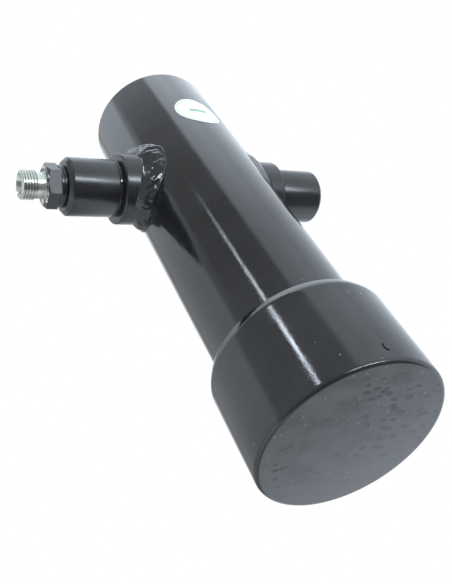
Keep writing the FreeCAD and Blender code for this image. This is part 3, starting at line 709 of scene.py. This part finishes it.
# %% Coupling and its washers
for face in coupling_work.faces:
    middle = face.calc_center_median()
    if hex_foot < middle.z <= hex_end and math.hypot(middle.x, middle.y) > neck_radius:
        face.material_index = 1
to_object(to_side(coupling_work, "port"), "oil_coupling", "barrel", ["port_adapter"],
          [zinc, hex_paint], sharp=35)
washer_radius = (washer_high.y - washer_low.y) / 2
for name, node, low, high, slot in (
        ("port_flat_washer", "port_washer", -washer_high.x, -washer_low.x, "black_paint"),
        ("port_bonded_seal", "bonded_seal", -bonded_high.x, -bonded_low.x, "seal_rubber")):
    washer_work = lathe([
        (8.05 * MM, low, 0), (washer_radius, low, 0.3 * MM), (washer_radius, high, 0.3 * MM),
        (8.05 * MM, high, 0)], steps=96)
    to_object(to_side(washer_work, "port"), name, "barrel", [node], [trunnion_enamel])

# %% [markdown]
# ## Inspection label
#
# A round vinyl sticker wraps on the tube.  It is modelled as a flat disc of several rings, given
# a UV map while it is flat, and only then bent round the tube, so that its print bends with it.
# The print is two thin rings and a plain bar.

# %% Label material
label_vinyl = bpy.data.materials.new("label_vinyl")
label_vinyl.use_nodes = True
label_tree = label_vinyl.node_tree
label_shader = label_tree.nodes["Principled BSDF"]
label_uv = add(label_tree, "ShaderNodeUVMap", {"uv_map": "flat"}).outputs["UV"]
label_axes = add(label_tree, "ShaderNodeSeparateXYZ", inputs={"Vector": label_uv})
off_u = math_node(label_tree, "SUBTRACT", label_axes.outputs["X"], 0.5)
off_v = math_node(label_tree, "SUBTRACT", label_axes.outputs["Y"], 0.5)
from_middle = math_node(label_tree, "SQRT", math_node(
    label_tree, "ADD", math_node(label_tree, "MULTIPLY", off_u, off_u),
    math_node(label_tree, "MULTIPLY", off_v, off_v)))


def printed_ring(radius, width):
    return math_node(label_tree, "LESS_THAN", math_node(
        label_tree, "ABSOLUTE", math_node(label_tree, "SUBTRACT", from_middle, radius)), width)


bar = math_node(label_tree, "MULTIPLY",
                math_node(label_tree, "LESS_THAN",
                          math_node(label_tree, "ABSOLUTE", off_u), 0.2),
                math_node(label_tree, "LESS_THAN",
                          math_node(label_tree, "ABSOLUTE", off_v), 0.055))
ink = math_node(label_tree, "MAXIMUM", bar, math_node(
    label_tree, "MAXIMUM", printed_ring(0.45, 0.008), printed_ring(0.41, 0.004)))
vinyl_wear = noise_node(label_tree, label_uv, 9.0, 1.0, 5.0, 0.6)
vinyl = mix_colour(label_tree, ramp(label_tree, vinyl_wear, 0.4, 0.8),
                   (0.91, 0.89, 0.86, 1), (0.83, 0.82, 0.79, 1))
label_tree.links.new(mix_colour(label_tree, math_node(label_tree, "MULTIPLY", ink, 0.85), vinyl,
                                (0.10, 0.36, 0.18, 1)), label_shader.inputs["Base Color"])
label_tree.links.new(ramp(label_tree, vinyl_wear, 0.3, 0.8, 0.28, 0.5),
                     label_shader.inputs["Roughness"])

# %% Label
label_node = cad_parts["inspection_label"]
label_points = [vert.co for vert in label_node.data.vertices]
label_middle = sum(label_points, Vector()) / len(label_points)
label_bearing = math.atan2(label_middle.y, label_middle.x)
label_height = (label_low.z + label_high.z) / 2
label_radius = (label_high.z - label_low.z) / 2
label_thickness = 0.2 * MM
rows = [label_radius * share for share in (0, 0.15, 0.3, 0.45, 0.6, 0.75, 0.9)]
label_work = lathe(
    [(radius, label_thickness, 0) for radius in rows] + [(label_radius, label_thickness, 0.06 * MM)]
    + [(label_radius, 0, 0)] + [(radius, 0, 0) for radius in reversed(rows)], steps=96, segments=2)
flat_map = label_work.loops.layers.uv.new("flat")
for face in label_work.faces:
    for loop in face.loops:
        loop[flat_map].uv = (loop.vert.co.x / (2 * label_radius) + 0.5,
                             loop.vert.co.y / (2 * label_radius) + 0.5)
for vert in label_work.verts:
    bearing = label_bearing + vert.co.x / tube_radius
    radius = tube_radius + vert.co.z
    vert.co = Vector((radius * math.cos(bearing), radius * math.sin(bearing),
                      label_height + vert.co.y))
to_object(label_work, "round_label", "barrel", ["inspection_label"], [label_vinyl])
print("label bearing, degrees:", round(math.degrees(label_bearing), 1))

# %% [markdown]
# ## Gland and head
#
# The gland is a threaded ring that closes the barrel and guides the stage; the head does the
# same between the stage and the plunger.  Both are lathe outlines with a groove for each ring
# they hold, and the grooves are read from those rings' own boxes.  Four slots for a pin spanner
# are milled with boxes.


# %% Gland and head
WIPER_BODY, O_RING_GROOVE, SNAP_GROOVE = 6 * MM, 2.4 * MM, 1.5 * MM


def seal_carrier(name, node, body, prefix, bore, material):
    low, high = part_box(node)
    outer = high.x
    ring_low, ring_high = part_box(prefix + "_o_ring")
    outline = [(bore, low.z, 0.3 * MM), (outer, low.z, 0.3 * MM),
               (outer, ring_low.z, 0), (outer - O_RING_GROOVE, ring_low.z, 0),
               (outer - O_RING_GROOVE, ring_high.z, 0), (outer, ring_high.z, 0),
               (outer, high.z, 0.6 * MM), (bore, high.z, 0.8 * MM)]
    wiper_low, wiper_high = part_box(prefix + "_wiper")
    wiper_top = wiper_low.z + WIPER_BODY
    grooves = [(wiper_low.z, wiper_top, wiper_high.x)]
    for ring in ("_rod_seal", "_guide_ring"):
        held_low, held_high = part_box(prefix + ring)
        grooves.append((held_low.z, held_high.z, held_high.x))
    for foot, top, root in grooves:
        outline += [(bore, top, 0), (root, top, 0), (root, foot, 0), (bore, foot, 0)]
    blank = lathe(outline, steps=144, segments=3)
    half, depth = 3 * MM, 2.5 * MM
    cutters = []
    for across in ((1, 0), (-1, 0), (0, 1), (0, -1)):
        corners = [Vector((across[0] * reach - abs(across[1]) * way * half,
                           across[1] * reach - abs(across[0]) * way * half, high.z + rise))
                   for reach, way, rise in ((outer - depth, 1, -depth),
                                            (outer + depth, -1, depth))]
        cutters.append(([min(pair) for pair in zip(*corners)],
                        [max(pair) for pair in zip(*corners)]))
    return to_object(mill(blank, cutters), name, body, [node], [material], sharp=35)


seal_carrier("gland_ring_nut", "gland_nut", "barrel", "gland", stage_radius + 0.5 * MM,
             enamel("gland_enamel", roughness=0.22, seed=15.0))
seal_carrier("stage_head_nut", "stage_head", "stage", "head", plunger_radius + 0.5 * MM,
             machined)


# %% Wipers
def wiper(name, node, body, rod):
    low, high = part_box(node)
    top = low.z + WIPER_BODY
    work = lathe([
        (rod + 0.06 * MM, low.z, 0), (high.x, low.z, 0.2 * MM), (high.x, top, 0.2 * MM),
        (rod + 0.5 * MM, top, 0), (rod + 0.35 * MM, high.z, 0.1 * MM),
        (rod + 0.06 * MM, high.z, 0.05 * MM)], steps=128, segments=3)
    return to_object(work, name, body, [node], [rubber])


wiper("gland_dust_wiper", "gland_wiper", "barrel", stage_radius)
wiper("head_dust_wiper", "head_wiper", "stage", plunger_radius)

# %% [markdown]
# ## Stage, plunger and ball
#
# The stage is a ground and chromed tube; the plunger inside it is solid.  Their feet carry snap
# rings in grooves, read from the rings' boxes, and the stage's foot is notched for the oil.
# The ball is a sphere cut flat where it seats on the plunger, and its shank is screwed in.


# %% Stage and plunger
def ring_grooves(radius, *nodes):
    """Outline corners of the grooves that those snap rings sit in, from the foot upwards."""
    corners = []
    for node in nodes:
        low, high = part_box(node)
        corners += [(radius, low.z, 0), (radius - SNAP_GROOVE, low.z, 0),
                    (radius - SNAP_GROOVE, high.z, 0), (radius, high.z, 0)]
    return corners


stop_low, stop_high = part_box("plunger_stop_ring")
stage_blank = lathe(
    [(stage_bore, stage_low.z, 0), (stage_radius, stage_low.z, 0.4 * MM)]
    + ring_grooves(stage_radius, "stage_snap_ring_lower", "stage_snap_ring_upper")
    + [(stage_radius, stage_end, 0.8 * MM), (head_high.x, stage_end, 0.4 * MM),
       (head_high.x, head_low.z, 0), (stage_bore, head_low.z, 0),
       (stage_bore, stop_high.z, 0), (stage_bore + SNAP_GROOVE, stop_high.z, 0),
       (stage_bore + SNAP_GROOVE, stop_low.z, 0), (stage_bore, stop_low.z, 0)], steps=160)
reach, notch = stage_radius * 1.2, 4 * MM
notch_low, notch_top = stage_low.z - 6 * MM, stage_low.z + 6 * MM
stage_work = mill(stage_blank, [((-reach, -notch, notch_low), (reach, notch, notch_top)),
                                ((-notch, -reach, notch_low), (notch, reach, notch_top))])
to_object(stage_work, "stage_sleeve", "stage", ["stage_tube"], [chrome], sharp=35)

shank_radius = 8.02 * MM
shank_foot = ball_low.z
plunger_work = lathe(
    [(0, plunger_low.z, 0), (plunger_radius - 2.2 * MM, plunger_low.z, 0.3 * MM),
     (plunger_radius, plunger_low.z + 2.2 * MM, 0.3 * MM)]
    + ring_grooves(plunger_radius, "plunger_snap_ring_lower", "plunger_snap_ring_upper")
    + [(plunger_radius, plunger_end, 0.8 * MM), (shank_radius, plunger_end, 0),
       (shank_radius, shank_foot, 0), (0, shank_foot, 0)], steps=160)
to_object(plunger_work, "plunger_rod", "plunger", ["plunger"], [chrome])

# %% Ball end
ball_radius = ball_high.x
ball_centre = ball_high.z - ball_radius
ball_work = bmesh.new()
bmesh.ops.create_uvsphere(ball_work, u_segments=128, v_segments=64, radius=ball_radius)
bmesh.ops.translate(ball_work, verts=ball_work.verts, vec=(0, 0, ball_centre))
everything = ball_work.verts[:] + ball_work.edges[:] + ball_work.faces[:]
seat = bmesh.ops.bisect_plane(ball_work, geom=everything, dist=1e-7,
                              plane_co=(0, 0, plunger_end), plane_no=(0, 0, -1),
                              clear_outer=True)
seat_edges = [thing for thing in seat["geom_cut"] if isinstance(thing, bmesh.types.BMEdge)]
seat_face = bmesh.ops.edgeloop_fill(ball_work, edges=seat_edges)["faces"]
seat_radius = math.hypot(*seat_edges[0].verts[0].co.xy)
bmesh.ops.inset_region(ball_work, faces=seat_face, use_even_offset=True, depth=0,
                       thickness=seat_radius - 8 * MM)
shank = bmesh.ops.extrude_face_region(ball_work, geom=seat_face)["geom"]
bmesh.ops.delete(ball_work, geom=seat_face, context="FACES_ONLY")
bmesh.ops.translate(ball_work, vec=(0, 0, shank_foot - plunger_end), verts=[
    thing for thing in shank if isinstance(thing, bmesh.types.BMVert)])
bmesh.ops.recalc_face_normals(ball_work, faces=ball_work.faces)
to_object(ball_work, "ball_head", "plunger", ["ball_end"], [machined], sharp=35)

# %% [markdown]
# ## Rings and seals kept from the CAD
#
# The inner rings are simple turned shapes that the CAD already holds in full, so they stay as
# they are and only take a material: bronze guides, rubber seals and dark spring steel.

# %% Materials of the inner rings
INNER_RINGS = {
    "base_seal": rubber, "gland_guide_ring": bronze, "gland_rod_seal": rubber,
    "gland_o_ring": rubber, "stage_snap_ring_lower": spring, "stage_snap_ring_upper": spring,
    "stage_guide_ring": bronze, "plunger_stop_ring": spring, "head_guide_ring": bronze,
    "head_rod_seal": rubber, "head_o_ring": rubber, "plunger_snap_ring_lower": spring,
    "plunger_snap_ring_upper": spring, "plunger_guide_ring": bronze}
for node, material in INNER_RINGS.items():
    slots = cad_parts[node].material_slots
    for material_slot in slots:
        material_slot.material = material
    print(node, "takes", material.name, "in", len(slots), "slot")

# %% [markdown]
# ## Floor
#
# The floor is a pale sheet just under the base.  The viewpoint is below it, so it only shows
# from above: seen from its back it is clear, and it neither blocks light nor reflects.

# %% Floor
floor_work = bmesh.new()
bmesh.ops.create_grid(floor_work, x_segments=1, y_segments=1, size=3)
bmesh.ops.translate(floor_work, verts=floor_work.verts, vec=(0, 0, cap_low.z - 0.5 * MM))
floor_mesh = bpy.data.meshes.new("floor")
floor_work.to_mesh(floor_mesh)
floor_work.free()
floor = bpy.data.objects.new("floor", floor_mesh)
bpy.context.collection.objects.link(floor)
floor_material = bpy.data.materials.new("floor_paper")
floor_material.use_nodes = True
floor_tree = floor_material.node_tree
paper = floor_tree.nodes["Principled BSDF"]
paper.inputs["Base Color"].default_value = (0.88, 0.83, 0.77, 1)
paper.inputs["Roughness"].default_value = 0.9
paper.inputs["Specular IOR Level"].default_value = 0.1
clear = add(floor_tree, "ShaderNodeBsdfTransparent")
front = math_node(floor_tree, "SUBTRACT", 1.0,
                  add(floor_tree, "ShaderNodeNewGeometry").outputs["Backfacing"])
seen = math_node(floor_tree, "MULTIPLY", front,
                 add(floor_tree, "ShaderNodeLightPath").outputs["Is Camera Ray"])
blend = add(floor_tree, "ShaderNodeMixShader", inputs={
    0: seen, 1: clear.outputs[0], 2: paper.outputs[0]})
floor_tree.links.new(blend.outputs[0], floor_tree.nodes["Material Output"].inputs["Surface"])
floor_mesh.materials.append(floor_material)

# %% [markdown]
# ## Light tent
#
# Black gloss shows its surroundings more than itself, so the studio is painted in the world: a
# window, two long sheets, a dark doorway and a dim screen behind the viewer, with some light
# from overhead and off the floor.  Two narrow strips give the sparkling streaks on the paint.
# The camera itself sees plain white.


# %% World
STUDIO = (  # from one bearing in degrees to another, brightness at each end
    (-180, -90, 0.85, 0.85),  # dim screen
    (-85, -50, 1.8, 1.8),  # window
    (-40, 65, 1.5, 1.3),  # long sheet
    (80, 85, 0.45, 0.45),  # doorway
    (95, 170, 0.7, 1.6),  # side sheet
    (175, 180, 0.85, 0.85))  # dim screen
PANEL_HEIGHTS = ((-1, 1.15), (-0.4, 1.15), (0, 0.8), (0.6, 0.9), (0.75, 0.75), (1, 1.3))
SCREEN_HEIGHTS = ((-1, 0.9), (0.6, 0.9), (0.8, 0.45), (0.9, 0.6), (1, 1.9))
SCREEN_MIDDLE, SCREEN_HALF_WIDTH, SCREEN_FADE = -132, 41.0, 3.0
SHADE_BRIGHTNESS = 0.32
RAMP_TOP = 2.0

world = bpy.data.worlds.new("light_tent")
world.use_nodes = True
sky = world.node_tree
towards = add(sky, "ShaderNodeSeparateXYZ", inputs={
    "Vector": add(sky, "ShaderNodeTexCoord").outputs["Generated"]})
bearing = math_node(sky, "MULTIPLY", math_node(
    sky, "ARCTAN2", towards.outputs["Y"], towards.outputs["X"]), 180 / math.pi)
elevation = math_node(sky, "MULTIPLY", math_node(sky, "ARCSINE", towards.outputs["Z"]),
                      180 / math.pi)


def stepped(value, low, high, stops):
    """Brightness that follows a list of (place, brightness) stops between low and high."""
    node = add(sky, "ShaderNodeValToRGB", inputs={"Fac": ramp(sky, value, low, high)})
    elements = node.color_ramp.elements
    while len(elements) > 1:
        elements.remove(elements[-1])
    for index, (place, brightness) in enumerate(stops):
        position = (place - low) / (high - low)
        element = elements[0] if index == 0 else elements.new(position)
        element.position = position
        element.color = [brightness / RAMP_TOP] * 3 + [1]
    return math_node(sky, "MULTIPLY", node.outputs["Color"], RAMP_TOP)


def strip_light(at_bearing, half_width, at_elevation, half_height, soft, strength):
    """A strip in the surroundings; soft gives how far its sides and its ends fade."""
    sides = ramp(sky, math_node(sky, "ABSOLUTE", math_node(
        sky, "SUBTRACT", bearing, at_bearing)), half_width, half_width + soft[0], 1.0, 0.0)
    ends = ramp(sky, math_node(sky, "ABSOLUTE", math_node(
        sky, "SUBTRACT", elevation, at_elevation)), half_height, half_height + soft[1],
        1.0, 0.0)
    return math_node(sky, "MULTIPLY", math_node(sky, "MULTIPLY", sides, ends), strength)


in_screen = ramp(sky, math_node(sky, "ABSOLUTE", math_node(
    sky, "SUBTRACT", bearing, SCREEN_MIDDLE)), SCREEN_HALF_WIDTH,
                 SCREEN_HALF_WIDTH + SCREEN_FADE, 1.0, 0.0)
by_height = add(sky, "ShaderNodeMix", {"data_type": "FLOAT"}, {
    0: in_screen, 2: stepped(towards.outputs["Z"], -1, 1, PANEL_HEIGHTS),
    3: stepped(towards.outputs["Z"], -1, 1, SCREEN_HEIGHTS)}).outputs[0]
around = [stop for start, end, first, last in STUDIO for stop in ((start, first), (end, last))]
tent = math_node(sky, "MULTIPLY", stepped(bearing, -180, 180, around), by_height)
shade = math_node(sky, "MULTIPLY", ramp(sky, towards.outputs["Z"], -0.42, -0.50),
                  ramp(sky, towards.outputs["Y"], 0.32, 0.12))
tent = math_node(sky, "MULTIPLY_ADD", shade, math_node(
    sky, "SUBTRACT", SHADE_BRIGHTNESS, tent), tent)
tent = math_node(sky, "ADD", tent, strip_light(
    at_bearing=-131.5, half_width=0.5, at_elevation=35, half_height=1.0, soft=(0.9, 19.0),
    strength=38.0))
tent = math_node(sky, "ADD", tent, strip_light(
    at_bearing=-78, half_width=12, at_elevation=-25.6, half_height=1.2, soft=(14.0, 2.6),
    strength=28.0))
tint = mix_colour(sky, ramp(sky, tent, 0.5, 1.2), (0.97, 1.0, 1.04, 1), (0.90, 1.0, 1.11, 1))
tinted = add(sky, "ShaderNodeVectorMath", {"operation": "SCALE"}, {0: tint, "Scale": tent})
background = sky.nodes["Background"]
plain = add(sky, "ShaderNodeBackground", inputs={"Color": (1, 1, 1, 1), "Strength": 1.0})
sky.links.new(tinted.outputs["Vector"], background.inputs["Color"])
what_is_seen = add(sky, "ShaderNodeMixShader", inputs={
    0: add(sky, "ShaderNodeLightPath").outputs["Is Camera Ray"],
    1: background.outputs[0], 2: plain.outputs[0]})
sky.links.new(what_is_seen.outputs[0], sky.nodes["World Output"].inputs["Surface"])
bpy.context.scene.world = world
bpy.context.scene.view_settings.view_transform = "Standard"
print("studio panels:", len(STUDIO), "and two strips")
